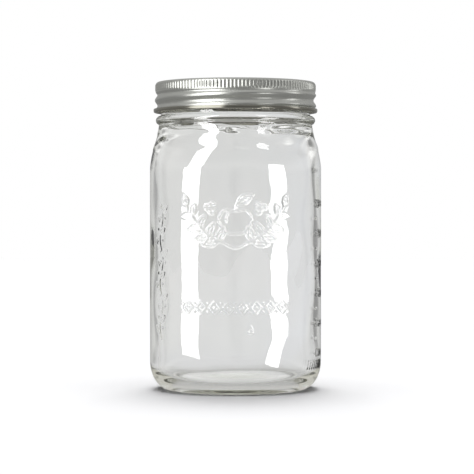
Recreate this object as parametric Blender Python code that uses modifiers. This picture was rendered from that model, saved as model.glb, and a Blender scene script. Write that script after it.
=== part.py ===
"""Wide-mouth preserving jar, one quart: a glass jar with a screw-threaded neck, a flat tinplate lid disc with
its moulded sealing ring, and the tinplate screw band that holds the disc down.

Units are metres, +Z is up, and the origin is the centre of the foot, on the surface that the jar stands on.
The band's thread is right-handed, so it rises when it turns anticlockwise seen from above.
"""

import math

import bmesh
import bpy
from mathutils import Vector

# Driving dimensions
COLUMNS = 48                 # facets around every turned piece
TOTAL_HEIGHT = 0.1720        # foot to the top of the screw band
BODY_RADIUS = 0.0480
WALL = 0.0034                # glass thickness of the body
CORNER_SWELL = 0.0018        # the body's four rounded corners stand out this much beyond its four flatter sides
SHEET = 0.0003               # tinplate thickness of the band and the disc
FIT_GAP = 0.0003             # gap kept between pieces that touch on the real jar
THREAD_PITCH = 0.00635       # four turns to the inch

# Foot and heel of the glass
HEEL_DEPTH = 0.0110          # how far the heel curves in
HEEL_HEIGHT = 0.0160         # how far it curves up
FOOT_INNER_RADIUS = 0.0342   # inner edge of the ring that the jar stands on
PUSH_UP = 0.0024             # hollow under the base
PUSH_UP_RADIUS = 0.0280
FLOOR_HEIGHT = 0.0062        # inner floor at the centre
FLOOR_EDGE_HEIGHT = 0.0048
INNER_HEEL_DEPTH = 0.0100
INNER_HEEL_HEIGHT = 0.0110

# The body turns from round to softly square between these heights, and back to round below the neck
SQUARE_FROM = 0.0040
SQUARE_LOW = 0.0300
SQUARE_HIGH = 0.1000
SQUARE_MIDDLE = 0.1120       # one more row where it changes
SQUARE_TO = 0.1465

# Shoulder, neck and finish of the glass
SHOULDER_BOTTOM = 0.1239
SHOULDER_TOP = 0.1471
SHOULDER_LEAN = 0.85         # below 1, the shoulder swells out nearer the neck
INNER_SHOULDER_BOTTOM = 0.1225
INNER_SHOULDER_TOP = 0.1480
NECK_RADIUS = 0.04306        # between the shoulder and the bead
FINISH_RADIUS = 0.0420       # root of the thread
MOUTH_RADIUS = 0.0383
BEAD_HEIGHT = 0.1506         # centre of the bead below the thread
BEAD_CREST_RADIUS = 0.0447
BEAD_CORE_RADIUS = 0.0424
BEAD_HALF_HEIGHT = 0.0024
RIM_INNER_ROUND = 0.0014
RIM_OUTER_ROUND = 0.0010
RIM_TAPER = 0.0004           # the finish draws in by this much towards the rim
RIM_TAPER_HEIGHT = 0.0026

# Glass thread: a round ridge that fades out at both ends
RIDGE_RADIUS = 0.0016
RIDGE_AT_LEFT = 0.1605       # height of the ridge's centre on the -X side
RIDGE_TURNS = 1.35
RIDGE_START = math.radians(-52.5)
RIDGE_FADE = math.radians(30)
RIDGE_END_SCALE = 0.12
RIDGE_SIDES = 2              # bevel_resolution, which gives eight sides

# Screw band
BAND_HEIGHT = 0.0170
BAND_PLAIN_RADIUS = 0.0450   # outer radius of the gripping edge at the top
BAND_MEAN_RADIUS = 0.0445    # outer radius half-way between bulge and groove
BAND_ROLL = 0.00075          # the rolled thread's half depth
BAND_LEAD = 0.0013           # the band's bulge lies this much above the ridge inside it
BAND_WINDOW = 0.0385         # inner radius of the top flange
BAND_CORNER = 0.0016
ROLL_BOTTOM = 0.1568         # the rolled thread fades in above this height
ROLL_TOP = 0.1660            # and has faded out again here
ROLL_FADE = 0.0012
ROLL_ROWS = 14
CURL_RADIUS = 0.00065        # outer radius of the rolled hem at the bottom
CURL_CENTRE_RADIUS = 0.04535

# Lid disc and sealing ring
DISC_RADIUS = 0.0430
DISC_LIP = 0.0007            # the turned-down edge
DISC_CHANNEL_INNER = 0.0379  # inner edge of the channel over the glass rim
DISC_PANEL_DROP = 0.0009     # the panel lies this much below the channel
DISC_PANEL_RADIUS = 0.0370
DISC_BUTTON_RADIUS = 0.0165
DISC_BUTTON_RISE = 0.0006
RING_INNER_RADIUS = 0.0388
RING_OUTER_RADIUS = 0.0422
RING_THICKNESS = 0.0007

# Stack of the closure, from the top down
BAND_TOP = TOTAL_HEIGHT
DISC_TOP = BAND_TOP - SHEET - FIT_GAP
RING_TOP = DISC_TOP - SHEET - FIT_GAP
RIM_HEIGHT = RING_TOP - RING_THICKNESS - FIT_GAP


def clear_scene():
    for old in list(bpy.data.objects):
        bpy.data.objects.remove(old)


def new_collection(name):
    collection = bpy.data.collections.new(name)
    bpy.context.scene.collection.children.link(collection)
    return collection


def new_material(name, colour, roughness, metallic=0.0, transmission=0.0):
    material = bpy.data.materials.new(name)
    material.use_nodes = True
    shader = material.node_tree.nodes["Principled BSDF"]
    shader.inputs["Base Color"].default_value = (*colour, 1.0)
    shader.inputs["Roughness"].default_value = roughness
    shader.inputs["Metallic"].default_value = metallic
    shader.inputs["Transmission Weight"].default_value = transmission
    return material


def arc(centre, radii, start, end, steps):
    """Points (radius, height) along an elliptical arc, angles in degrees from the outward direction."""
    points = []
    for i in range(steps + 1):
        angle = math.radians(start + (end - start) * i / steps)
        points.append((centre[0] + radii[0] * math.cos(angle), centre[1] + radii[1] * math.sin(angle)))
    return points


def shoulder(top, bottom, steps):
    """Points from the (radius, height) at the top of a shoulder to the one at its bottom, along a soft S."""
    points = []
    for i in range(steps + 1):
        t = i / steps
        lean = t**SHOULDER_LEAN
        eased = 0.45 * lean + 0.55 * (1 - math.cos(math.pi * lean)) / 2
        points.append((top[0] + (bottom[0] - top[0]) * eased, top[1] + (bottom[1] - top[1]) * t))
    return points


def fade(height, low, high, width):
    """1 between low and high, falling smoothly to 0 at both."""
    inside = min(height - low, high - height) / width
    t = max(0.0, min(1.0, inside))
    return t * t * (3 - 2 * t)


def profile_mesh(name, profile, closed=False):
    """A mesh of the edges along (radius, height) points, in the XZ plane."""
    mesh = bpy.data.meshes.new(name)
    edges = [(i, i + 1) for i in range(len(profile) - 1)]
    if closed:
        edges.append((len(profile) - 1, 0))
    mesh.from_pydata([(radius, 0.0, height) for radius, height in profile], edges, [])
    return mesh


def turned(name, profile, material, collection, closed=False):
    """A solid turned about Z. An open profile starts and ends on the axis."""
    piece = bpy.data.objects.new(name, profile_mesh(name, profile, closed))
    collection.objects.link(piece)
    piece.data.materials.append(material)
    screw = piece.modifiers.new("Turn", "SCREW")
    screw.axis = "Z"
    screw.angle = 2 * math.pi
    screw.steps = COLUMNS
    screw.render_steps = COLUMNS
    screw.use_merge_vertices = True
    screw.merge_threshold = 0.00001
    screw.use_smooth_shade = True
    return piece


def spun_sheet(name, profile, material, collection, roll=None):
    """Sheet metal spun about Z from the profile of its outer face, top to bottom. roll(angle, height) gives
    how far a point is pressed outwards."""
    mesh = profile_mesh(name, profile)
    sheet = bmesh.new()
    sheet.from_mesh(mesh)
    bmesh.ops.spin(
        sheet,
        geom=sheet.verts[:] + sheet.edges[:],
        cent=(0, 0, 0),
        axis=(0, 0, 1),
        angle=2 * math.pi,
        steps=COLUMNS,
        use_merge=True,
    )
    bmesh.ops.remove_doubles(sheet, verts=sheet.verts, dist=0.00001)
    for vertex in sheet.verts:
        outward = Vector((vertex.co.x, vertex.co.y, 0))
        if roll and outward.length > 0:
            angle = math.atan2(vertex.co.y, vertex.co.x)
            vertex.co += outward.normalized() * roll(angle, vertex.co.z)
    sheet.to_mesh(mesh)
    sheet.free()
    piece = bpy.data.objects.new(name, mesh)
    collection.objects.link(piece)
    mesh.materials.append(material)
    mesh.shade_smooth()
    wall = piece.modifiers.new("Sheet", "SOLIDIFY")
    wall.thickness = SHEET
    wall.offset = -1
    wall.use_even_offset = True
    return piece


def ridge_height(angle):
    """Height of the glass ridge's centre at an angle about Z, counted along the helix."""
    return RIDGE_AT_LEFT + THREAD_PITCH * (angle - math.pi) / (2 * math.pi)


def thread_ridge(collection):
    """The helical ridge, a tube half sunk in the finish, as a closed mesh to join to the glass."""
    curve = bpy.data.curves.new("thread_ridge", "CURVE")
    curve.dimensions = "3D"
    curve.bevel_depth = RIDGE_RADIUS
    curve.bevel_resolution = RIDGE_SIDES
    curve.use_fill_caps = True
    steps = round(RIDGE_TURNS * COLUMNS)
    line = curve.splines.new("POLY")
    line.points.add(steps)
    sweep = 2 * math.pi * steps / COLUMNS
    for i, point in enumerate(line.points):
        along = sweep * i / steps
        angle = RIDGE_START + along
        point.co = (
            FINISH_RADIUS * math.cos(angle),
            FINISH_RADIUS * math.sin(angle),
            ridge_height(angle),
            1.0,
        )
        point.radius = max(RIDGE_END_SCALE, fade(along, 0.0, sweep, RIDGE_FADE))
    tube = bpy.data.objects.new("thread_ridge_curve", curve)
    collection.objects.link(tube)
    bpy.context.view_layer.update()
    evaluated = tube.evaluated_get(bpy.context.evaluated_depsgraph_get())
    mesh = bpy.data.meshes.new_from_object(evaluated)
    welded = bmesh.new()
    welded.from_mesh(mesh)
    bmesh.ops.remove_doubles(welded, verts=welded.verts, dist=0.000001)
    bmesh.ops.recalc_face_normals(welded, faces=welded.faces)
    welded.to_mesh(mesh)
    welded.free()
    ridge = bpy.data.objects.new("thread_ridge", mesh)
    collection.objects.link(ridge)
    ridge.matrix_world = tube.matrix_world
    bpy.data.objects.remove(tube)
    ridge.hide_render = True
    ridge.display_type = "WIRE"
    return ridge


def glass_profile():
    """The glass from the centre of its inner floor, up the inside, over the rim and down to the push-up."""
    inner_radius = BODY_RADIUS - WALL
    heel_centre = (inner_radius - INNER_HEEL_DEPTH, FLOOR_EDGE_HEIGHT + INNER_HEEL_HEIGHT)
    inner_foot = arc(heel_centre, (INNER_HEEL_DEPTH, INNER_HEEL_HEIGHT), -90, 0, 5)
    inner_shoulder = shoulder((MOUTH_RADIUS, INNER_SHOULDER_TOP), (inner_radius, INNER_SHOULDER_BOTTOM), 6)
    rim_inside = arc(
        (MOUTH_RADIUS + RIM_INNER_ROUND, RIM_HEIGHT - RIM_INNER_ROUND),
        (RIM_INNER_ROUND, RIM_INNER_ROUND),
        180,
        90,
        3,
    )
    rim_edge_radius = FINISH_RADIUS - RIM_TAPER
    rim_outside = arc(
        (rim_edge_radius - RIM_OUTER_ROUND, RIM_HEIGHT - RIM_OUTER_ROUND),
        (RIM_OUTER_ROUND, RIM_OUTER_ROUND),
        90,
        0,
        2,
    )
    finish = [(FINISH_RADIUS, RIM_HEIGHT - RIM_TAPER_HEIGHT)]
    bead_bulge = BEAD_CREST_RADIUS - BEAD_CORE_RADIUS
    bead_end = -math.degrees(math.acos((NECK_RADIUS - BEAD_CORE_RADIUS) / bead_bulge))
    bead = arc((BEAD_CORE_RADIUS, BEAD_HEIGHT), (bead_bulge, BEAD_HALF_HEIGHT), 90, bead_end, 6)
    outer_shoulder = shoulder((NECK_RADIUS, SHOULDER_TOP), (BODY_RADIUS, SHOULDER_BOTTOM), 7)
    heel = arc((BODY_RADIUS - HEEL_DEPTH, HEEL_HEIGHT), (HEEL_DEPTH, HEEL_HEIGHT), 0, -90, 6)
    base = [(FOOT_INNER_RADIUS, 0.0), (PUSH_UP_RADIUS, PUSH_UP * 0.85), (0.0, PUSH_UP)]
    return (
        [(0.0, FLOOR_HEIGHT)]
        + inner_foot
        + [(inner_radius, SQUARE_LOW), (inner_radius, SQUARE_HIGH), (inner_radius, SQUARE_MIDDLE)]
        + inner_shoulder[::-1]
        + rim_inside
        + rim_outside
        + finish
        + [(FINISH_RADIUS, BEAD_HEIGHT + BEAD_HALF_HEIGHT + FIT_GAP)]
        + bead
        + outer_shoulder
        + [(BODY_RADIUS, SQUARE_MIDDLE), (BODY_RADIUS, SQUARE_HIGH), (BODY_RADIUS, SQUARE_LOW)]
        + heel
        + base
    )


def ease(share):
    share = min(max(share, 0.0), 1.0)
    return share * share * (3 - 2 * share)


def square_body(jar):
    """Moves the turned body's corners outwards, so that it has four flatter sides, the front and back among them."""
    graph = bpy.context.evaluated_depsgraph_get()
    jar.data = bpy.data.meshes.new_from_object(jar.evaluated_get(graph))
    jar.modifiers.clear()
    for vertex in jar.data.vertices:
        place = vertex.co
        radius = math.hypot(place.x, place.y)
        if radius < BODY_RADIUS / 2:
            continue
        share = ease((place.z - SQUARE_FROM) / (SQUARE_LOW - SQUARE_FROM))
        share *= ease((SQUARE_TO - place.z) / (SQUARE_TO - SQUARE_HIGH))
        swell = CORNER_SWELL * share * math.sin(2 * math.atan2(place.y, place.x)) ** 2
        place.x *= 1 + swell / radius
        place.y *= 1 + swell / radius


def glass_jar(material, collection, helpers):
    jar = turned("glass_jar", glass_profile(), material, collection)
    square_body(jar)
    join = jar.modifiers.new("Thread", "BOOLEAN")
    join.operation = "UNION"
    join.solver = "EXACT"
    join.object = thread_ridge(helpers)
    return jar


def band_roll(angle, height):
    """The rolled thread: a bulge over each turn of the glass ridge and a groove below it."""
    bulge = ridge_height(angle) + BAND_LEAD
    wave = math.cos(2 * math.pi * (height - bulge) / THREAD_PITCH)
    return BAND_ROLL * wave * fade(height, ROLL_BOTTOM, ROLL_TOP, ROLL_FADE)


def screw_band(material, collection):
    corner = arc(
        (BAND_PLAIN_RADIUS - BAND_CORNER, BAND_TOP - BAND_CORNER), (BAND_CORNER, BAND_CORNER), 90, 0, 4
    )
    rolled = []
    for i in range(ROLL_ROWS + 1):
        rolled.append((BAND_MEAN_RADIUS, ROLL_TOP - (ROLL_TOP - ROLL_BOTTOM) * i / ROLL_ROWS))
    curl_height = BAND_TOP - BAND_HEIGHT + CURL_RADIUS
    hollow = CURL_RADIUS - SHEET
    curl = arc((CURL_CENTRE_RADIUS, curl_height), (hollow, hollow), 180, 345, 5)
    profile = [(BAND_WINDOW, BAND_TOP)] + corner + [(BAND_PLAIN_RADIUS, ROLL_TOP + 0.0008)] + rolled + curl
    return spun_sheet("screw_band", profile, material, collection, band_roll)


def lid_disc(material, collection):
    panel = DISC_TOP - DISC_PANEL_DROP
    profile = [
        (0.0, panel + DISC_BUTTON_RISE),
        (DISC_BUTTON_RADIUS * 0.8, panel + DISC_BUTTON_RISE),
        (DISC_BUTTON_RADIUS, panel),
        (DISC_PANEL_RADIUS, panel),
        (DISC_CHANNEL_INNER, DISC_TOP),
        (DISC_RADIUS - DISC_LIP / 2, DISC_TOP),
        (DISC_RADIUS, DISC_TOP - DISC_LIP / 2),
        (DISC_RADIUS, DISC_TOP - DISC_LIP - SHEET),
    ]
    return spun_sheet("lid_disc", profile, material, collection)


def sealing_ring(material, collection):
    round_off = RING_THICKNESS / 3
    profile = [
        (RING_INNER_RADIUS + round_off, RING_TOP),
        (RING_OUTER_RADIUS - round_off, RING_TOP),
        (RING_OUTER_RADIUS, RING_TOP - round_off),
        (RING_OUTER_RADIUS, RING_TOP - RING_THICKNESS + round_off),
        (RING_OUTER_RADIUS - round_off, RING_TOP - RING_THICKNESS),
        (RING_INNER_RADIUS + round_off, RING_TOP - RING_THICKNESS),
        (RING_INNER_RADIUS, RING_TOP - RING_THICKNESS + round_off),
        (RING_INNER_RADIUS, RING_TOP - round_off),
    ]
    return turned("sealing_ring", profile, material, collection, closed=True)


def main():
    clear_scene()
    jar_parts = new_collection("mason_jar")
    helpers = new_collection("cutters")
    glass = new_material("clear_glass", (0.93, 0.95, 0.94), 0.02, transmission=1.0)
    tinplate = new_material("tinplate", (0.72, 0.72, 0.70), 0.22, metallic=1.0)
    lid_plate = new_material("lid_plate", (0.78, 0.77, 0.74), 0.25, metallic=1.0)
    compound = new_material("sealing_compound", (0.55, 0.53, 0.50), 0.6)
    glass_jar(glass, jar_parts, helpers)
    screw_band(tinplate, jar_parts)
    lid_disc(lid_plate, jar_parts)
    sealing_ring(compound, jar_parts)


main()
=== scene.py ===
"""Looks for a one-quart wide-mouth preserving jar: pressed glass with a raised fruit sprig, a tinplate lid
disc with its seal, and a tinplate screw band with a gripping edge.

Metres, +Z up. The decorated front faces -Y, and angles round the jar are counted from there towards +X.
"""

import math

import bmesh
import bpy
import numpy as np
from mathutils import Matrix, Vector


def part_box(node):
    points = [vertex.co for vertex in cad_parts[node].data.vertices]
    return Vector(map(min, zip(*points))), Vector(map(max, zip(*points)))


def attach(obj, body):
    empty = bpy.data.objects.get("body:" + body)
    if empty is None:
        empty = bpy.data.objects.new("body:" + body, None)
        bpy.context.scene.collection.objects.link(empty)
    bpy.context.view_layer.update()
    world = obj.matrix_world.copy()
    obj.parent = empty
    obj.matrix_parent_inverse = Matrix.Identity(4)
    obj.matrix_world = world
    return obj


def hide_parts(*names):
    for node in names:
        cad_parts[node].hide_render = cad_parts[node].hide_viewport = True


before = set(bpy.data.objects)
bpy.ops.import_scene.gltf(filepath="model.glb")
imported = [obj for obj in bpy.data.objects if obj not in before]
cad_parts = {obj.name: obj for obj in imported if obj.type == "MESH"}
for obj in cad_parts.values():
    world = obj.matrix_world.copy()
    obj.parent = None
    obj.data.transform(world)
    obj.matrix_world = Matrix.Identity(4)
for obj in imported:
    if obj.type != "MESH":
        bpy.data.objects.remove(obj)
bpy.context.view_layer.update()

MM = 0.001

# Places taken from the frame
_, JAR_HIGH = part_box("glass_jar")
BAND_LOW, BAND_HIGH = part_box("screw_band")
DISC_LOW, DISC_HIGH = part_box("lid_disc")
RING_LOW, RING_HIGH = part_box("sealing_ring")
BODY_RADIUS = JAR_HIGH.x
RIM_HEIGHT = JAR_HIGH.z
BAND_TOP = BAND_HIGH.z
BAND_BOTTOM = BAND_LOW.z
DISC_RADIUS = DISC_HIGH.x

# Glass
GLASS_COLUMNS = 160
WALL = 3.4 * MM
CORNER_SWELL = 1.8 * MM
SQUARE_FROM = 4.0 * MM
SQUARE_LOW = 30.0 * MM
SQUARE_HIGH = 100.0 * MM
SQUARE_TO = 146.5 * MM
HEEL_DEPTH = 11.0 * MM
HEEL_HEIGHT = 16.0 * MM
FOOT_INNER_RADIUS = 34.2 * MM
PUSH_UP = 2.4 * MM
PUSH_UP_RADIUS = 28.0 * MM
FLOOR_HEIGHT = 6.2 * MM
FLOOR_EDGE_HEIGHT = 4.8 * MM
INNER_HEEL_DEPTH = 10.0 * MM
INNER_HEEL_HEIGHT = 11.0 * MM
SHOULDER_BOTTOM = 123.9 * MM
SHOULDER_TOP = 147.1 * MM
SHOULDER_LEAN = 0.85
INNER_SHOULDER_BOTTOM = 122.5 * MM
INNER_SHOULDER_TOP = 148.0 * MM
NECK_RADIUS = 43.06 * MM
FINISH_RADIUS = 42.0 * MM
MOUTH_RADIUS = 38.3 * MM
BEAD_HEIGHT = 150.6 * MM
BEAD_CREST_RADIUS = 44.7 * MM
BEAD_CORE_RADIUS = 42.4 * MM
BEAD_HALF_HEIGHT = 2.4 * MM
RIM_INNER_ROUND = 1.4 * MM
RIM_OUTER_ROUND = 1.0 * MM
RIM_TAPER = 0.4 * MM
RIM_TAPER_HEIGHT = 2.6 * MM

# The screw thread, shared by the glass and the band
THREAD_PITCH = 6.35 * MM
RIDGE_AT_LEFT = 160.5 * MM
RIDGE_HEIGHT = 1.5 * MM
RIDGE_HALF_WIDTH = 1.7 * MM
RIDGE_TURNS = 1.35
RIDGE_START = math.radians(37.5)
RIDGE_FADE = math.radians(30)
LEFT_ANGLE = math.pi * 3 / 2

# Screw band
RIBS = 136
COLUMNS_PER_RIB = 6
SHEET = 0.3 * MM
BAND_PLAIN_RADIUS = 44.75 * MM
BAND_MEAN_RADIUS = 44.5 * MM
BAND_ROLL = 0.75 * MM
BAND_LEAD = 1.3 * MM
BAND_WINDOW = 38.5 * MM
BAND_CORNER = 1.5 * MM
KNURL_DEPTH = 0.42 * MM
KNURL_TOP = 170.9 * MM
KNURL_BOTTOM = 166.7 * MM
ROLL_TOP = 166.0 * MM
ROLL_BOTTOM = 157.2 * MM
ROLL_FADE = 1.2 * MM
HEM_HALF_WIDTH = 0.65 * MM
HEM_HALF_HEIGHT = 1.15 * MM
HEM_CENTRE_RADIUS = 45.35 * MM

# Lid disc and sealing ring
DISC_COLUMNS = 160
RING_COLUMNS = 120
DISC_SHEET = 0.25 * MM
DISC_EDGE = 0.5 * MM
RING_INNER_RADIUS = 38.8 * MM


# ---------------------------------------------------------------- helpers


def ease(t):
    """0 to 1, level at both ends."""
    t = np.clip(t, 0.0, 1.0)
    return t * t * (3 - 2 * t)


def window(value, low, high, fade):
    """1 between low and high, easing to 0 at both."""
    return ease(np.minimum(value - low, high - value) / fade)


def arc(centre, radii, start, end, steps):
    """Points (radius, height) along an elliptical arc, angles in degrees from the outward direction."""
    angles = np.radians(np.linspace(start, end, steps + 1))
    return [(centre[0] + radii[0] * math.cos(a), centre[1] + radii[1] * math.sin(a)) for a in angles]


def straight(start, end, step):
    """Points between two (radius, height) ends, about one step apart, without the ends themselves."""
    count = max(1, round(math.dist(start, end) / step))
    points = np.linspace(start, end, count + 1)[1:-1]
    return [tuple(p) for p in points]


def shoulder(top, bottom, steps):
    """Points from the (radius, height) at the top of a shoulder to the one at its bottom, along a soft S."""
    points = []
    for t in np.linspace(0, 1, steps + 1):
        lean = t**SHOULDER_LEAN
        eased = 0.45 * lean + 0.55 * (1 - math.cos(math.pi * lean)) / 2
        points.append((top[0] + (bottom[0] - top[0]) * eased, top[1] + (bottom[1] - top[1]) * t))
    return points


def spin_profile(profile, columns):
    """A bmesh surface turned about Z from (radius, height) points that run down its outer side."""
    turned = bmesh.new()
    corners = [turned.verts.new((radius, 0.0, height)) for radius, height in profile]
    for upper, lower in zip(corners, corners[1:]):
        turned.edges.new((upper, lower))
    bmesh.ops.spin(
        turned,
        geom=turned.verts[:] + turned.edges[:],
        cent=(0, 0, 0),
        axis=(0, 0, 1),
        angle=2 * math.pi,
        steps=columns,
        use_merge=True,
    )
    bmesh.ops.remove_doubles(turned, verts=turned.verts, dist=0.005 * MM)
    bmesh.ops.recalc_face_normals(turned, faces=turned.faces)
    return turned


def polar(points):
    """Angle from the front towards +X, radius and height of an array of points."""
    return np.arctan2(points[:, 0], -points[:, 1]), np.hypot(points[:, 0], points[:, 1]), points[:, 2]


def read_points(mesh):
    """The mesh's vertex places as an array of rows."""
    points = np.empty(len(mesh.vertices) * 3)
    mesh.vertices.foreach_get("co", points)
    return points.reshape(-1, 3)


def move_radially(mesh, radius):
    """Gives each vertex a new distance from the axis."""
    points = read_points(mesh)
    angle = np.arctan2(points[:, 0], -points[:, 1])
    points[:, 0] = radius * np.sin(angle)
    points[:, 1] = -radius * np.cos(angle)
    mesh.vertices.foreach_set("co", points.ravel())
    mesh.update()


def finished(name, surface, material):
    """The bmesh as a smooth-shaded object at the origin."""
    mesh = bpy.data.meshes.new(name)
    surface.to_mesh(mesh)
    surface.free()
    mesh.shade_smooth()
    mesh.materials.append(material)
    piece = bpy.data.objects.new(name, mesh)
    bpy.context.scene.collection.objects.link(piece)
    return piece


# ---------------------------------------------------------------- materials


class Finish:
    """A node material on Object coordinates, with short calls for its noise, ramps and bumps."""

    def __init__(self, name):
        self.material = bpy.data.materials.new(name)
        self.material.use_nodes = True
        self.tree = self.material.node_tree
        self.shader = self.tree.nodes["Principled BSDF"]
        self.output = self.tree.nodes["Material Output"]
        self.place = self.add("ShaderNodeTexCoord").outputs["Object"]

    def add(self, kind):
        return self.tree.nodes.new(kind)

    def join(self, out, socket):
        self.tree.links.new(out, socket)

    def set(self, **values):
        for name, value in values.items():
            self.shader.inputs[name.replace("_", " ")].default_value = value

    def stretched(self, scale):
        mapping = self.add("ShaderNodeMapping")
        mapping.inputs["Scale"].default_value = scale
        self.join(self.place, mapping.inputs["Vector"])
        return mapping.outputs["Vector"]

    def noise(self, scale, detail=3.0, stretch=None, roughness=0.5):
        texture = self.add("ShaderNodeTexNoise")
        texture.inputs["Scale"].default_value = scale
        texture.inputs["Detail"].default_value = detail
        texture.inputs["Roughness"].default_value = roughness
        self.join(self.stretched(stretch) if stretch else self.place, texture.inputs["Vector"])
        return texture.outputs["Fac"]

    def range(self, value, low, high, to_low, to_high):
        limits = self.add("ShaderNodeMapRange")
        limits.inputs["From Min"].default_value = low
        limits.inputs["From Max"].default_value = high
        limits.inputs["To Min"].default_value = to_low
        limits.inputs["To Max"].default_value = to_high
        self.join(value, limits.inputs["Value"])
        return limits.outputs["Result"]

    def blend(self, share, first, second):
        mix = self.add("ShaderNodeMix")
        mix.data_type = "RGBA"
        for socket, colour in ((mix.inputs["A"], first), (mix.inputs["B"], second)):
            if isinstance(colour, tuple):
                socket.default_value = (*colour, 1.0)
            else:
                self.join(colour, socket)
        self.join(share, mix.inputs["Factor"])
        return mix.outputs["Result"]

    def bump(self, height, distance, strength=1.0, under=None):
        node = self.add("ShaderNodeBump")
        node.inputs["Distance"].default_value = distance
        node.inputs["Strength"].default_value = strength
        self.join(height, node.inputs["Height"])
        if under:
            self.join(under, node.inputs["Normal"])
        return node.outputs["Normal"]


def clear_glass():
    """Soda-lime glass: clear, faintly green in depth, with the orange-peel of a pressed surface."""
    glass = Finish("clear_soda_lime_glass")
    glass.set(Transmission_Weight=1.0, IOR=1.52)
    cloud = glass.noise(35, detail=2)
    tint = glass.blend(glass.range(cloud, 0.35, 0.65, 0, 1), (0.99, 0.99, 0.99), (0.975, 0.98, 0.98))
    glass.join(tint, glass.shader.inputs["Base Color"])
    smear = glass.noise(60, detail=5, stretch=(1, 1, 0.35))
    glass.join(glass.range(smear, 0.45, 0.8, 0.0, 0.05), glass.shader.inputs["Roughness"])
    peel = glass.bump(glass.noise(260, detail=1), 0.004 * MM, 0.5)
    glass.join(peel, glass.shader.inputs["Normal"])
    depth = glass.add("ShaderNodeVolumeAbsorption")
    depth.inputs["Color"].default_value = (0.80, 0.81, 0.71, 1.0)
    depth.inputs["Density"].default_value = 17.0
    glass.join(depth.outputs["Volume"], glass.output.inputs["Volume"])
    return glass.material


def tinplate(name, colour, dull, stretch):
    """Bright tinplate: satin, with fine lines drawn out by the stretch, small scuffs and dull patches."""
    tin = Finish(name)
    tin.set(Metallic=1.0)
    patches = tin.noise(45, detail=4)
    lines = tin.noise(420, detail=4, stretch=stretch, roughness=0.65)
    scuffs = tin.noise(900, detail=2)
    worn = tuple(0.86 * c for c in colour)
    tone = tin.blend(tin.range(patches, 0.35, 0.7, 0, 1), colour, worn)
    spots = tin.range(scuffs, 0.70, 0.76, 0, 1)
    tone = tin.blend(spots, tone, tuple(0.7 * c for c in colour))
    tin.join(tone, tin.shader.inputs["Base Color"])
    tin.join(tin.range(patches, 0.3, 0.75, dull[0], dull[1]), tin.shader.inputs["Roughness"])
    fine = tin.bump(lines, 0.006 * MM, 0.5)
    tin.join(tin.bump(patches, 0.03 * MM, 0.5, under=fine), tin.shader.inputs["Normal"])
    return tin.material


# Light and deep tones of the clear lacquer inside the band and of the pale one under the disc
GOLDEN_LACQUER = ((0.43, 0.42, 0.36), (0.35, 0.34, 0.29))
PALE_LACQUER = ((0.80, 0.79, 0.75), (0.72, 0.71, 0.66))


def lacquer(name, tones, dull, cloud_scale, grain_scale, metallic=0.0):
    """Lacquer over tinplate: faintly cloudy, with a fine grain."""
    coat = Finish(name)
    coat.set(Metallic=metallic)
    cloud = coat.noise(cloud_scale, detail=4)
    tone = coat.blend(coat.range(cloud, 0.35, 0.7, 0, 1), tones[0], tones[1])
    coat.join(tone, coat.shader.inputs["Base Color"])
    coat.join(coat.range(cloud, 0.3, 0.7, dull[0], dull[1]), coat.shader.inputs["Roughness"])
    coat.join(coat.bump(coat.noise(grain_scale), 0.01 * MM, 0.5), coat.shader.inputs["Normal"])
    return coat.material


def sealing_compound():
    """Moulded sealing compound: matt, faintly mottled."""
    seal = Finish("sealing_compound")
    mottle = seal.noise(300, detail=4)
    tone = seal.blend(seal.range(mottle, 0.35, 0.65, 0, 1), (0.56, 0.53, 0.49), (0.47, 0.44, 0.41))
    seal.join(tone, seal.shader.inputs["Base Color"])
    seal.join(seal.range(mottle, 0.3, 0.7, 0.45, 0.65), seal.shader.inputs["Roughness"])
    seal.join(seal.bump(seal.noise(1500, detail=2), 0.02 * MM, 0.5), seal.shader.inputs["Normal"])
    return seal.material


# ---------------------------------------------------------------- raised decoration


class Relief:
    """A patch of raised lines on the glass, drawn in millimetres round and up the jar from its centre."""

    def __init__(self, centre, half_size, height=0.55, half_width=0.62):
        self.centre = centre
        self.half_size = half_size
        self.height = height
        self.half_width = half_width
        self.lines = []
        self.dots = []

    def line(self, points):
        self.lines.append(np.array(points, float))

    def dot(self, place, radius):
        self.dots.append((np.array(place, float), radius))

    def ring(self, place, radius, steps=16):
        turns = np.linspace(0, 2 * np.pi, steps + 1)
        self.line([(place[0] + radius * np.cos(t), place[1] + radius * np.sin(t)) for t in turns])

    def leaf(self, base, tip, fullness=0.24, rib=0.7):
        """A leaf outline from two bowed edges, with a midrib."""
        base, tip = np.array(base, float), np.array(tip, float)
        along = tip - base
        across = np.array([-along[1], along[0]])
        for side in (-1, 1):
            edge = []
            for u in np.linspace(0, 1, 9):
                edge.append(base + along * u + across * side * fullness * math.sin(math.pi * u**0.85))
            self.line(edge)
        self.line([base, base + along * rib])

    def holds(self, round_mm, up_mm, margin=0.0):
        """Whether the patch, widened by a margin, covers each place."""
        inside = abs(round_mm - self.centre[0]) < self.half_size[0] + margin
        return inside & (abs(up_mm - self.centre[1]) < self.half_size[1] + margin)

    def heights(self, round_mm, up_mm):
        """How far each point stands out, in millimetres."""
        place = np.stack([round_mm - self.centre[0], up_mm - self.centre[1]], axis=1)
        best = np.zeros(len(place))
        for points in self.lines:
            for start, end in zip(points, points[1:]):
                along = end - start
                share = np.clip((place - start) @ along / max(along @ along, 1e-9), 0, 1)
                gap = np.linalg.norm(place - start - share[:, None] * along, axis=1)
                best = np.maximum(best, ease(1 - gap / self.half_width / 1.35))
        for centre, radius in self.dots:
            gap = np.linalg.norm(place - centre, axis=1)
            best = np.maximum(best, ease(1.5 * (1 - gap / radius)))
        return best * self.height


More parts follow.
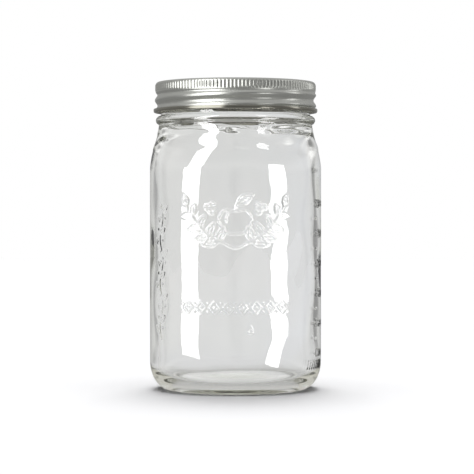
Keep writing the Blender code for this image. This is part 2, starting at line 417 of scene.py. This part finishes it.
def fruit_sprig():
    """The front panel: an apple between two leafy branches, over a shallow swag."""
    panel = Relief(centre=(0, 95.5), half_size=(31, 19), height=0.8, half_width=0.72)
    outline = []
    for t in np.linspace(-np.pi, np.pi, 41):
        notch = 2.4 * math.exp(-((t / 0.5) ** 2)) - 1.0 * math.exp(-(((abs(t) - np.pi) / 0.35) ** 2))
        outline.append((8.6 * math.sin(t) * (1 + 0.07 * math.cos(t)), 7.8 * math.cos(t) - notch - 1.0))
    panel.line(outline)
    panel.line([(0, 4.6), (0.3, 7.0), (1.4, 9.6)])
    panel.leaf((0.9, 8.2), (9.2, 13.2))
    panel.line([(-4.6, -1.5), (-4.9, 0.8), (-4.0, 2.8)])
    for side in (-1, 1):
        stem = [(side * (6 + 21 * u), -13.0 + 2.5 * u + 17.5 * u * u) for u in np.linspace(0, 1, 13)]
        panel.line(stem)
        for step in range(4):
            u = 0.16 + 0.235 * step
            x, z = side * (6 + 21 * u), -13.0 + 2.5 * u + 17.5 * u * u
            size = 8.8 - 0.9 * step
            panel.leaf((x, z), (x - side * 0.35 * size, z + 0.9 * size))
            panel.leaf((x, z), (x + side * 0.95 * size, z - 0.18 * size))
        panel.leaf((side * 27, 7), (side * 28.6, 13.5))
        for x, z in ((12.5, 4.0), (14.8, 6.4), (12.3, 7.6)):
            panel.ring((side * x, z), 1.35)
    panel.line([(x, -13.0 - 2.6 * math.cos(math.pi * x / 12.5)) for x in np.linspace(-6.2, 6.2, 11)])
    return panel


def diamond_frieze():
    """The band of diamonds and dots under the sprig."""
    frieze = Relief(centre=(0, 48.0), half_size=(32, 4.6), height=0.5, half_width=0.55)
    diamonds, pitch = 8, 7.4
    for i in range(diamonds):
        middle = (i - (diamonds - 1) / 2) * pitch
        corners = [(0, 3.3), (2.7, 0), (0, -3.3), (-2.7, 0), (0, 3.3)]
        frieze.line([(middle + x, z) for x, z in corners])
        frieze.dot((middle, 0), 1.0)
    for i in range(diamonds + 1):
        for up in (2.3, -2.3):
            frieze.dot(((i - diamonds / 2) * pitch, up), 0.8)
    return frieze


def drop_mark():
    """A small raised drop below the frieze."""
    mark = Relief(centre=(8.0, 35.7), half_size=(3.2, 4.0), height=0.6, half_width=0.55)
    mark.ring((0, -0.6), 1.25)
    mark.line([(-0.9, 0.3), (0, 2.6), (0.9, 0.3)])
    return mark


SEGMENTS = {
    "top": ((0, 2), (1, 2)),
    "middle": ((0, 1), (1, 1)),
    "bottom": ((0, 0), (1, 0)),
    "upper_left": ((0, 1), (0, 2)),
    "upper_right": ((1, 1), (1, 2)),
    "lower_left": ((0, 0), (0, 1)),
    "lower_right": ((1, 0), (1, 1)),
}
DIGITS = {
    0: "top bottom upper_left upper_right lower_left lower_right",
    1: "upper_right lower_right",
    2: "top middle bottom upper_right lower_left",
    3: "top middle bottom upper_right lower_right",
    4: "middle upper_left upper_right lower_right",
    5: "top middle bottom upper_left lower_right",
    6: "top middle bottom upper_left lower_left lower_right",
}
LEVELS = 6
LEVEL_STEP = 16.54
FIRST_LEVEL = 21.4


def level_scale():
    """Fill levels up the right side: a long tick and a plain number at each, short ticks between."""
    middle = FIRST_LEVEL + LEVEL_STEP * (LEVELS - 1) / 2
    half_height = LEVEL_STEP * (LEVELS - 1) / 2 + 3.2
    scale = Relief(centre=(60.5, middle), half_size=(7.6, half_height), height=0.3, half_width=0.42)
    for level in range(LEVELS):
        z = FIRST_LEVEL + LEVEL_STEP * level - middle
        scale.line([(-7.0, z), (-2.6, z)])
        if level < LEVELS - 1:
            scale.line([(-7.0, z + LEVEL_STEP / 2), (-4.8, z + LEVEL_STEP / 2)])
        for place, digit in enumerate((level + 1, 0, 0)):
            left = -1.2 + 2.7 * place
            for segment in DIGITS[digit].split():
                scale.line([(left + 1.6 * x, z + 1.6 * (y - 1)) for x, y in SEGMENTS[segment]])
    return scale


def climbing_vine():
    """A thin vine up the left side."""
    vine = Relief(centre=(-46, 66.5), half_size=(6.4, 39), height=0.28, half_width=0.6)
    half_height, wave = 36.5, 24.0
    heights = np.linspace(-half_height, half_height, 49)
    vine.line([(1.5 * math.sin(2 * math.pi * z / wave), z) for z in heights])
    for i, z in enumerate(np.arange(-33.0, 34.0, 6.0)):
        side = 1 if i % 2 else -1
        x = 1.5 * math.sin(2 * math.pi * z / wave)
        vine.leaf((x, z), (x + side * 4.4, z + 3.0), fullness=0.28)
        vine.dot((x - side * 2.2, z + 2.4), 0.95)
    return vine


def heel_bars():
    """A short run of slanted bars low on the right, which a gripper holds while the glass is hot."""
    bars = Relief(centre=(55.0, 15.2), half_size=(10.5, 3.2), height=0.4, half_width=0.5)
    for i in range(8):
        x = (i - 3.5) * 2.5
        bars.line([(x - 0.5, -2.2), (x + 0.5, 2.2)])
    return bars


# Margin in millimetres and number of cuts for the faces under a relief
RELIEF_MARGIN = 0.6
RELIEF_CUTS = 4
RELIEFS = [fruit_sprig(), diamond_frieze(), drop_mark(), level_scale(), climbing_vine(), heel_bars()]


# ---------------------------------------------------------------- glass jar


def glass_profile():
    """From the centre of the inner floor, up the inside, over the rim and down to the push-up."""
    inner_radius = BODY_RADIUS - WALL
    heel_centre = (inner_radius - INNER_HEEL_DEPTH, FLOOR_EDGE_HEIGHT + INNER_HEEL_HEIGHT)
    floor_end = (heel_centre[0], FLOOR_EDGE_HEIGHT)
    floor = [(0.0, FLOOR_HEIGHT)] + straight((0.0, FLOOR_HEIGHT), floor_end, 3 * MM)
    inner_foot = arc(heel_centre, (INNER_HEEL_DEPTH, INNER_HEEL_HEIGHT), -90, 0, 14)
    slope_top = (MOUTH_RADIUS, INNER_SHOULDER_TOP)
    slope_bottom = (inner_radius, INNER_SHOULDER_BOTTOM)
    inner_wall = straight(inner_foot[-1], slope_bottom, 2.2 * MM)
    inner_slope = shoulder(slope_top, slope_bottom, 16)[::-1]
    inner_round = (MOUTH_RADIUS + RIM_INNER_ROUND, RIM_HEIGHT - RIM_INNER_ROUND)
    rim_inside = arc(inner_round, (RIM_INNER_ROUND, RIM_INNER_ROUND), 180, 90, 6)
    mouth = straight(inner_slope[-1], rim_inside[0], 2.5 * MM)
    outer_round = (FINISH_RADIUS - RIM_TAPER - RIM_OUTER_ROUND, RIM_HEIGHT - RIM_OUTER_ROUND)
    rim_outside = arc(outer_round, (RIM_OUTER_ROUND, RIM_OUTER_ROUND), 90, 0, 5)
    finish_top = (FINISH_RADIUS, RIM_HEIGHT - RIM_TAPER_HEIGHT)
    finish_end = (FINISH_RADIUS, BEAD_HEIGHT + BEAD_HALF_HEIGHT + 0.3 * MM)
    finish = [finish_top] + straight(finish_top, finish_end, 0.4 * MM) + [finish_end]
    bulge = BEAD_CREST_RADIUS - BEAD_CORE_RADIUS
    bead_end = -math.degrees(math.acos((NECK_RADIUS - BEAD_CORE_RADIUS) / bulge))
    bead = arc((BEAD_CORE_RADIUS, BEAD_HEIGHT), (bulge, BEAD_HALF_HEIGHT), 90, bead_end, 16)
    slope = shoulder((NECK_RADIUS, SHOULDER_TOP), (BODY_RADIUS, SHOULDER_BOTTOM), 20)
    heel = arc((BODY_RADIUS - HEEL_DEPTH, HEEL_HEIGHT), (HEEL_DEPTH, HEEL_HEIGHT), 0, -90, 18)
    wall = straight(slope[-1], heel[0], 1.9 * MM)
    foot = [(FOOT_INNER_RADIUS, 0.0)]
    hollow = arc((PUSH_UP_RADIUS, 0.0), (FOOT_INNER_RADIUS - PUSH_UP_RADIUS, PUSH_UP * 0.85), 0, 90, 6)[1:]
    push_up = straight(hollow[-1], (0.0, PUSH_UP), 3 * MM) + [(0.0, PUSH_UP)]
    inside = floor + inner_foot + inner_wall + inner_slope + mouth + rim_inside
    outside = rim_outside + finish + bead + slope + wall + heel
    return inside + outside + foot + hollow + push_up


def refine_for_reliefs(glass):
    """Divides the outer faces that a relief covers, so that its lines have real shape."""
    chosen = []
    for face in glass.faces:
        centre = face.calc_center_median()
        if math.hypot(centre.x, centre.y) < BODY_RADIUS - WALL / 2 and centre.z > HEEL_HEIGHT:
            continue
        if face.normal.x * centre.x + face.normal.y * centre.y < 0:
            continue
        round_mm = math.atan2(centre.x, -centre.y) * BODY_RADIUS / MM
        up_mm = centre.z / MM
        if any(relief.holds(round_mm, up_mm, RELIEF_MARGIN) for relief in RELIEFS):
            chosen.append(face)
    edges = list(dict.fromkeys(edge for face in chosen for edge in face.edges))
    bmesh.ops.subdivide_edges(glass, edges=edges, cuts=RELIEF_CUTS, use_grid_fill=True)


def outer_body_radius(height):
    """Radius of the plain outer surface from the heel up to the shoulder."""
    drop = np.clip((HEEL_HEIGHT - height) / HEEL_HEIGHT, 0, 1)
    return BODY_RADIUS - HEEL_DEPTH * (1 - np.sqrt(1 - drop**2))


def corner_swell(angle, height):
    """How far the softly square body stands out beyond its round profile."""
    share = ease((height - SQUARE_FROM) / (SQUARE_LOW - SQUARE_FROM))
    share *= ease((SQUARE_TO - height) / (SQUARE_TO - SQUARE_HIGH))
    return CORNER_SWELL * share * np.sin(2 * angle) ** 2


def thread_ridge(angle, height):
    """How far the screw thread stands out of the finish. The thread is a right-handed helix."""
    ridge = np.zeros(len(angle))
    sweep = 2 * math.pi * RIDGE_TURNS
    for lap in (0, 1, 2):
        along = (angle - RIDGE_START) % (2 * math.pi) + 2 * math.pi * lap
        turned = RIDGE_START + along - LEFT_ANGLE
        centre = RIDGE_AT_LEFT + THREAD_PITCH * turned / (2 * math.pi)
        size = ease(np.minimum(along, sweep - along) / RIDGE_FADE)
        gap = np.abs(height - centre) / RIDGE_HALF_WIDTH
        crest = np.sqrt(np.clip(1 - gap**2, 0, 1)) * ease((1 - gap) * 2.5)
        ridge = np.maximum(ridge, RIDGE_HEIGHT * size * crest)
    return ridge


def inner_waves(angle, height):
    """The slow, uneven waves of the blown glass, stronger where it narrows to the neck."""
    waves = 0.11 * np.sin(3 * angle + height / (17 * MM))
    waves += 0.09 * np.sin(5 * angle - height / (11 * MM) + 1.3)
    waves += 0.06 * np.sin(9 * angle + height / (7 * MM) + 0.4)
    pinch = window(height, 129 * MM, 149 * MM, 8 * MM)
    waves += 0.28 * pinch * np.sin(5 * angle + 1.6 * np.sin(3 * angle) + height / (2.1 * MM))
    waves += 0.10 * pinch * np.sin(11 * angle - height / (1.7 * MM) + 0.7)
    return waves * MM


def outer_waves(angle, height):
    """Faint unevenness of the pressed outer wall, rougher to the right of the front."""
    waves = 0.030 * np.sin(11 * angle + height / (9 * MM))
    waves += 0.022 * np.sin(17 * angle - height / (6 * MM) + 2.0)
    rough = np.exp(-(((angle - 0.47) / 0.20) ** 2))
    waves += rough * 0.045 * np.sin(31 * angle + 1.5 * np.sin(height / (8 * MM)) + height / (4.4 * MM))
    waves += rough * 0.030 * np.sin(43 * angle - height / (2.6 * MM) + 1.0)
    return waves * MM * window(height, 18 * MM, 140 * MM, 10 * MM)


def shape_glass(mesh):
    """Gives the turned glass its reliefs, thread, waves and softly square body."""
    angle, radius, height = polar(read_points(mesh))
    mid_wall = outer_body_radius(height) - WALL / 2
    on_wall = (height > HEEL_HEIGHT * 0.6) & (height < SHOULDER_BOTTOM)
    outer_wall = on_wall & (radius > mid_wall)
    radius = np.where(outer_wall, outer_body_radius(height), radius)
    round_mm = angle * BODY_RADIUS / MM
    up_mm = height / MM
    for relief in RELIEFS:
        inside = outer_wall & relief.holds(round_mm, up_mm)
        radius[inside] += relief.heights(round_mm[inside], up_mm[inside]) * MM
    on_finish = (height > BEAD_HEIGHT + BEAD_HALF_HEIGHT) & (radius > FINISH_RADIUS - RIM_TAPER / 2)
    radius[on_finish] += thread_ridge(angle[on_finish], height[on_finish])
    # The inner face, and the outer one too where the shoulder draws in, up to just under the neck
    waved = (height > FLOOR_EDGE_HEIGHT + 2 * MM) & (height < INNER_SHOULDER_TOP)
    waved &= ~outer_wall & (radius < mid_wall)
    waved &= ~((radius > NECK_RADIUS - 0.5 * MM) & (height > SHOULDER_TOP - 4 * MM))
    fade = window(height, 12 * MM, INNER_SHOULDER_TOP + 2 * MM, 6 * MM)
    radius[waved] += (inner_waves(angle, height) * fade)[waved]
    radius[outer_wall] += outer_waves(angle, height)[outer_wall]
    body = radius > BODY_RADIUS / 2
    radius[body] += corner_swell(angle, height)[body]
    move_radially(mesh, radius)


def make_glass_jar(material):
    surface = spin_profile(glass_profile(), GLASS_COLUMNS)
    refine_for_reliefs(surface)
    jar = finished("pressed_glass_jar", surface, material)
    shape_glass(jar.data)
    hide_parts("glass_jar")
    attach(jar, "jar")
    return jar


# ---------------------------------------------------------------- closure


def band_profile():
    """The band's outer face from the window, over the edge and down to the curled hem."""
    corner_centre = (BAND_PLAIN_RADIUS - BAND_CORNER, BAND_TOP - BAND_CORNER)
    lip = [(BAND_WINDOW, BAND_TOP - 0.45 * MM), (BAND_WINDOW + 0.25 * MM, BAND_TOP - 0.2 * MM)]
    flange_end = (corner_centre[0], BAND_TOP)
    flange = [(BAND_WINDOW + 0.9 * MM, BAND_TOP - 0.12 * MM)]
    flange += straight(flange[0], flange_end, 1.2 * MM)
    corner = arc(corner_centre, (BAND_CORNER, BAND_CORNER), 90, 0, 6)
    knurl = straight(corner[-1], (BAND_PLAIN_RADIUS, KNURL_BOTTOM - 0.2 * MM), 0.5 * MM)
    plain = [(BAND_PLAIN_RADIUS, KNURL_BOTTOM - 0.2 * MM), (BAND_PLAIN_RADIUS, ROLL_TOP + 0.2 * MM)]
    roll_start, roll_end = (BAND_MEAN_RADIUS, ROLL_TOP - 0.3 * MM), (BAND_MEAN_RADIUS, ROLL_BOTTOM)
    rolled = [roll_start] + straight(roll_start, roll_end, 0.48 * MM) + [roll_end]
    hollow = (HEM_HALF_WIDTH - SHEET, HEM_HALF_HEIGHT - SHEET)
    hem = arc((HEM_CENTRE_RADIUS, BAND_BOTTOM + HEM_HALF_HEIGHT), hollow, 180, 420, 12)
    return lip + flange + corner + knurl + plain + rolled + hem


def shape_band(mesh):
    """Rolls the thread into the band's side and presses the gripping ribs into its edge."""
    angle, radius, height = polar(read_points(mesh))
    on_side = radius > BAND_PLAIN_RADIUS - BAND_CORNER
    turned = angle - LEFT_ANGLE
    bulge = RIDGE_AT_LEFT + BAND_LEAD + THREAD_PITCH * turned / (2 * math.pi)
    wave = np.cos(2 * math.pi * (height - bulge) / THREAD_PITCH)
    radius += BAND_ROLL * wave * window(height, ROLL_BOTTOM, ROLL_TOP, ROLL_FADE)
    rib = 0.5 + 0.5 * np.cos(angle * RIBS)
    grip = window(height, KNURL_BOTTOM, KNURL_TOP, 0.5 * MM)
    radius += np.where(on_side, KNURL_DEPTH * (rib**0.7 - 0.35) * grip, 0.0)
    radius += 0.02 * MM * np.sin(4 * angle + height / (5 * MM))
    move_radially(mesh, radius)


def make_screw_band(material, inside):
    """The band; its lacquered inside also shows on the hem, which is curled outwards."""
    surface = spin_profile(band_profile(), RIBS * COLUMNS_PER_RIB)
    band = finished("knurled_screw_band", surface, material)
    band.data.materials.append(inside)
    shape_band(band.data)
    wall = band.modifiers.new("Sheet", "SOLIDIFY")
    wall.thickness = SHEET
    wall.offset = -1
    wall.use_even_offset = True
    wall.material_offset = 1
    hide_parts("screw_band")
    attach(band, "band")
    return band


def disc_profile():
    """The lid disc's upper face from the centre out: button, stepped panel, channel and turned-down edge."""
    top = DISC_HIGH.z - 0.12 * MM
    panel = top - 0.9 * MM
    profile = [(0.0, panel + 0.55 * MM)]
    profile += [(4 * MM, panel + 0.54 * MM), (8 * MM, panel + 0.48 * MM), (11.5 * MM, panel + 0.38 * MM)]
    profile += [(13.2 * MM, panel + 0.3 * MM), (14.2 * MM, panel + 0.12 * MM), (15.2 * MM, panel)]
    for step_radius in (22.0, 26.5):
        middle = step_radius * MM
        profile += [(middle - 0.9 * MM, panel), (middle - 0.4 * MM, panel + 0.13 * MM)]
        profile += [(middle + 0.4 * MM, panel + 0.13 * MM), (middle + 0.9 * MM, panel)]
    profile += [(31.0 * MM, panel), (33.0 * MM, panel - 0.06 * MM), (35.0 * MM, panel - 0.1 * MM)]
    profile += [(36.4 * MM, panel - 0.05 * MM), (37.0 * MM, panel + 0.25 * MM)]
    profile += [(37.4 * MM, panel + 0.65 * MM), (37.9 * MM, top - 0.03 * MM), (38.4 * MM, top)]
    profile += straight((38.4 * MM, top), (DISC_RADIUS - DISC_EDGE, top), 1.2 * MM)
    edge = arc((DISC_RADIUS - DISC_EDGE, top - DISC_EDGE), (DISC_EDGE, DISC_EDGE), 90, 0, 5)
    return profile + edge + [(DISC_RADIUS, DISC_LOW.z + 0.15 * MM)]


def make_lid_disc(material, underside):
    surface = spin_profile(disc_profile(), DISC_COLUMNS)
    bmesh.ops.solidify(surface, geom=surface.faces[:], thickness=DISC_SHEET)
    disc = finished("stamped_lid_disc", surface, material)
    disc.data.materials.append(underside)
    for face in disc.data.polygons:
        if face.normal.z < -0.3:
            face.material_index = 1
    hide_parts("lid_disc")
    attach(disc, "lid")
    return disc


def make_sealing_ring(material):
    """A ring of compound with a soft dip where the rim has pressed into it."""
    inner, outer = RING_INNER_RADIUS, RING_HIGH.x
    low, high = RING_LOW.z, RING_HIGH.z - 0.05 * MM
    middle, half = (inner + outer) / 2, (outer - inner) / 2
    corner = 0.2 * MM
    profile = [(middle, high), (outer - corner, high), (outer, high - corner), (outer, low + corner)]
    for share in np.linspace(1, -1, 13):
        dip = 0.16 * MM * math.cos(share * math.pi / 2) ** 2
        profile.append((middle + share * (half - corner), low + dip))
    profile += [(inner, low + corner), (inner, high - corner), (inner + corner, high), (middle, high)]
    ring = finished("moulded_sealing_ring", spin_profile(profile, RING_COLUMNS), material)
    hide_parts("sealing_ring")
    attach(ring, "lid")
    return ring


# ---------------------------------------------------------------- stage


# Levels that the glass shows and mirrors, by azimuth in degrees from straight behind the jar
SEEN_THROUGH = [
    (-180, 0.62), (-100, 0.70), (-60, 0.78), (-48, 0.74), (-42, 0.40), (-35, 0.40), (-28, (0.76, 0.76, 0.75)),
    (0, (0.76, 0.76, 0.76)), (14, (0.77, 0.78, 0.81)), (24, 0.76), (32, 0.26), (41, 0.26), (50, 0.76),
    (100, 0.70), (158, 0.62), (168, 0.82), (173, 0.70), (176, 0.22), (180, 0.20),
]
MIRRORED = [
    (-180, 0.12), (-140, 0.20), (-90, 0.28), (-40, 0.35), (0, 0.35), (40, 0.35), (90, 0.28), (140, 0.20),
    (180, 0.12),
]
CEILING_THROUGH = 1.15
HIGH_THROUGH = 0.22
CEILING_MIRRORED = 0.45
DIFFUSE_LEVEL = 0.06

# The floor: a darker painted-shade tone for what the glass and tin show; the painted glow that it gives off
# through the glass, by distance from the axis in tenths of a metre, dimmer near the foot as a painted contact
# shadow; and the painted glow that it shows in mirror images far off and close to the foot
FLOOR_PAINTED_SHADE_TONE = (0.30, 0.30, 0.30)
CONTACT_SHADE = [
    (0.0, 0.70), (0.28, 0.68), (0.34, 0.44), (0.40, 0.42), (0.55, 0.64), (0.90, (0.72, 0.72, 0.73)),
]
FLOOR_REFLECTED_PAINTED_GLOW = (0.20, 0.20, 0.20)
FOOT_REFLECTED_PAINTED_GLOW = (0.46, 0.45, 0.42)


def direction_of(tree, coordinates):
    """Azimuth of a place or direction from the back (+Y) towards +X, and its height."""
    split = tree.nodes.new("ShaderNodeSeparateXYZ")
    tree.links.new(coordinates, split.inputs["Vector"])
    azimuth = tree.nodes.new("ShaderNodeMath")
    azimuth.operation = "ARCTAN2"
    tree.links.new(split.outputs["X"], azimuth.inputs[0])
    tree.links.new(split.outputs["Y"], azimuth.inputs[1])
    return azimuth.outputs["Value"], split.outputs["Z"]


def set_marks(ramp, stops):
    """Fills a colour ramp from (place, level) pairs; a level is a grey or a colour."""
    while len(ramp.elements) < len(stops):
        ramp.elements.new(0.5)
    for mark, (place, level) in zip(ramp.elements, stops):
        mark.position = place
        mark.color = (*level, 1.0) if isinstance(level, tuple) else (level, level, level, 1.0)


def azimuth_ramp(tree, azimuth, stops):
    """Grey levels by azimuth in degrees from the back, -180 to 180."""
    share = tree.nodes.new("ShaderNodeMapRange")
    share.inputs["From Min"].default_value = -math.pi
    share.inputs["From Max"].default_value = math.pi
    tree.links.new(azimuth, share.inputs["Value"])
    ramp = tree.nodes.new("ShaderNodeValToRGB")
    tree.links.new(share.outputs["Result"], ramp.inputs["Fac"])
    set_marks(ramp.color_ramp, [((degrees + 180) / 360, level) for degrees, level in stops])
    return ramp.outputs["Color"]


def pale_floor():
    """A plain pale floor that meets the white surround without an edge, and glows with painted light."""
    surface = bmesh.new()
    bmesh.ops.create_grid(surface, x_segments=4, y_segments=4, size=3.0)
    stage = Finish("pale_floor")
    stage.set(Roughness=0.9, Specular_IOR_Level=0.0)
    path = stage.add("ShaderNodeLightPath")
    mottle = stage.noise(8, detail=2)
    tone = stage.blend(stage.range(mottle, 0.3, 0.7, 0, 1), (0.86, 0.86, 0.87), (0.85, 0.85, 0.86))
    # Painted shade: to every ray but the camera's the floor has a darker copy of its tone
    tone = stage.blend(path.outputs["Is Camera Ray"], FLOOR_PAINTED_SHADE_TONE, tone)
    stage.join(tone, stage.shader.inputs["Base Color"])
    away = stage.add("ShaderNodeVectorMath")
    away.operation = "LENGTH"
    stage.join(stage.place, away.inputs[0])
    # Painted contact shadow: the glow seen through the glass is dimmer close to the foot
    painted_contact_shadow = stage.add("ShaderNodeValToRGB")
    distance = away.outputs["Value"]
    stage.join(stage.range(distance, 0, 0.1, 0, 1), painted_contact_shadow.inputs["Fac"])
    set_marks(painted_contact_shadow.color_ramp, CONTACT_SHADE)
    # Painted light far off: the surround's levels by azimuth, given off by the floor itself
    azimuth, _ = direction_of(stage.tree, stage.place)
    painted_far_light = azimuth_ramp(stage.tree, azimuth, SEEN_THROUGH)
    through = stage.blend(stage.range(distance, 0.15, 0.45, 0, 1), painted_contact_shadow.outputs["Color"], painted_far_light)
    # Painted reflection: the glow that the floor shows in mirror images, brighter close to the foot
    mirrored = stage.blend(stage.range(distance, 0.06, 0.14, 0, 1), FOOT_REFLECTED_PAINTED_GLOW, FLOOR_REFLECTED_PAINTED_GLOW)
    # The floor gives off this painted light for every ray but the camera's
    painted_floor_glow = stage.blend(path.outputs["Is Transmission Ray"], mirrored, through)
    painted_floor_glow = stage.blend(path.outputs["Is Camera Ray"], painted_floor_glow, (0.0, 0.0, 0.0))
    stage.join(painted_floor_glow, stage.shader.inputs["Emission Color"])
    stage.set(Emission_Strength=1.0)
    floor = finished("floor", surface, stage.material)
    return floor


def surround():
    """White where the camera looks past the jar; shades of grey in what the glass and the tin show."""
    world = bpy.data.worlds.new("studio")
    bpy.context.scene.world = world
    world.use_nodes = True
    tree = world.node_tree
    background = tree.nodes["Background"]
    azimuth, rise = direction_of(tree, tree.nodes.new("ShaderNodeTexCoord").outputs["Generated"])
    through = azimuth_ramp(tree, azimuth, SEEN_THROUGH)
    mirrored = azimuth_ramp(tree, azimuth, MIRRORED)
    path = tree.nodes.new("ShaderNodeLightPath")

    def choose(share, first, second):
        mix = tree.nodes.new("ShaderNodeMix")
        mix.data_type = "RGBA"
        for socket, value in ((mix.inputs["A"], first), (mix.inputs["B"], second)):
            if isinstance(value, float):
                socket.default_value = (value, value, value, 1.0)
            else:
                tree.links.new(value, socket)
        tree.links.new(share, mix.inputs["Factor"])
        return mix.outputs["Result"]

    def above(low, high):
        share = tree.nodes.new("ShaderNodeMapRange")
        share.interpolation_type = "SMOOTHSTEP"
        share.inputs["From Min"].default_value = math.sin(math.radians(low))
        share.inputs["From Max"].default_value = math.sin(math.radians(high))
        tree.links.new(rise, share.inputs["Value"])
        return share.outputs["Result"]

    through = choose(above(9, 16), through, CEILING_THROUGH)
    through = choose(above(18, 28), through, HIGH_THROUGH)
    mirrored = choose(above(15, 50), mirrored, CEILING_MIRRORED)
    light = choose(path.outputs["Is Glossy Ray"], DIFFUSE_LEVEL, mirrored)
    light = choose(path.outputs["Is Transmission Ray"], light, through)
    light = choose(path.outputs["Diffuse Depth"], light, DIFFUSE_LEVEL)
    light = choose(path.outputs["Is Camera Ray"], light, 1.0)
    tree.links.new(light, background.inputs["Color"])


def light_only(lamp, pieces):
    """Lets a lamp light the pieces given and nothing else."""
    lit = bpy.data.collections.new(lamp.name + "_lights")
    for piece in pieces:
        lit.objects.link(piece)
    lamp.light_linking.receiver_collection = lit


def softbox(name, azimuth, distance, bottom, top, width, brightness, pieces, lean=0.0):
    """A soft light that faces the jar, at an azimuth from the front, its top leaning to +X by degrees."""
    light = bpy.data.lights.new(name, "AREA")
    light.shape = "RECTANGLE"
    light.size = width
    light.size_y = top - bottom
    light.energy = 4 * brightness * light.size * light.size_y
    lamp = bpy.data.objects.new(name, light)
    turn = math.radians(azimuth)
    lamp.location = (distance * math.sin(turn), -distance * math.cos(turn), (top + bottom) / 2)
    lamp.rotation_euler = (math.pi / 2, math.radians(lean), turn)
    lamp.visible_camera = False
    lamp.visible_transmission = False
    bpy.context.scene.collection.objects.link(lamp)
    light_only(lamp, pieces)


def floor_light(name, lean, spread, strength, floor):
    """A soft sun on the floor alone, leaning back from overhead by some degrees."""
    light = bpy.data.lights.new(name, "SUN")
    light.angle = math.radians(spread)
    light.energy = strength
    light.cycles.max_bounces = 0
    lamp = bpy.data.objects.new(name, light)
    lamp.location = (0.0, 0.0, 1.0)
    lamp.rotation_euler = (-math.radians(lean), 0, 0)
    bpy.context.scene.collection.objects.link(lamp)
    light_only(lamp, [floor])


# The strips stand close to the glass, and the sheens further off on the metal
STRIP_DISTANCE = 0.101
STRIP_BRIGHTNESS = 10.0
GLINT_BRIGHTNESS = 6.0
SHEEN_DISTANCE = 0.30
SIDE_SHEEN_DISTANCE = 0.50


def make_lights(glass, metal, floor):
    near, bright = STRIP_DISTANCE, STRIP_BRIGHTNESS
    softbox("left_strip", -43.5, near, 0.0105, 0.134, 0.037, bright, [glass])
    softbox("left_strip_top", -34.0, near, 0.120, 0.205, 0.029, bright, [glass], lean=24)
    softbox("right_strip", 41.5, near, 0.028, 0.140, 0.034, bright, [glass])
    softbox("right_strip_foot", 38.0, near, 0.003, 0.034, 0.028, bright, [glass], lean=22)
    softbox("neck_glint", 33.0, near, 0.172, 0.230, 0.019, GLINT_BRIGHTNESS, [glass])
    softbox("left_sheen", -40.0, SHEEN_DISTANCE, 0.003, 0.50, 0.25, 1.4, metal)
    softbox("right_sheen", 41.0, SHEEN_DISTANCE, 0.003, 0.15, 0.07, 1.0, metal)
    softbox("side_sheen", 90.0, SIDE_SHEEN_DISTANCE, 0.12, 0.50, 0.12, 0.8, metal)
    floor_light("overhead", 0, 50, 2.2, floor)
    floor_light("from_behind", 25, 30, 1.48, floor)


CAMERA_DISTANCE = 1.104
CAMERA_HEIGHT = 0.0988
CAMERA_RIGHT = 0.84 * MM
CAMERA_DIP = math.radians(0.70)
CAMERA_LENS = 149.2
CAMERA_SENSOR = 36.0


def make_camera():
    """A long lens in front of the jar, a little above its middle and dipped slightly."""
    lens = bpy.data.cameras.new("camera")
    lens.lens = CAMERA_LENS
    lens.sensor_width = CAMERA_SENSOR
    lens.dof.use_dof = False
    camera = bpy.data.objects.new("camera", lens)
    camera.location = (CAMERA_RIGHT, -CAMERA_DISTANCE, CAMERA_HEIGHT)
    camera.rotation_euler = (math.pi / 2 - CAMERA_DIP, 0, 0)
    bpy.context.scene.collection.objects.link(camera)
    bpy.context.scene.camera = camera


# How far light is followed through the glass
GLASS_BOUNCES = 32
GLOSSY_BOUNCES = 24


def main():
    band_tin = tinplate("bright_tinplate", (0.83, 0.84, 0.79), dull=(0.24, 0.36), stretch=(0.06, 0.06, 6.0))
    band_inside = lacquer("inside_lacquer", GOLDEN_LACQUER, (0.12, 0.24), 70, 600, metallic=1.0)
    lid_tin = tinplate("lid_tinplate", (0.82, 0.81, 0.78), dull=(0.20, 0.34), stretch=(1.0, 0.08, 1.0))
    lid_underside = lacquer("under_lacquer", PALE_LACQUER, (0.22, 0.38), 60, 700)
    jar = make_glass_jar(clear_glass())
    band = make_screw_band(band_tin, band_inside)
    disc = make_lid_disc(lid_tin, lid_underside)
    ring = make_sealing_ring(sealing_compound())
    floor = pale_floor()
    surround()
    make_lights(jar, [band, disc, ring], floor)
    make_camera()
    scene = bpy.context.scene
    scene.view_settings.view_transform = "Standard"
    scene.cycles.max_bounces = GLASS_BOUNCES
    scene.cycles.transmission_bounces = GLASS_BOUNCES
    scene.cycles.glossy_bounces = GLOSSY_BOUNCES


main()
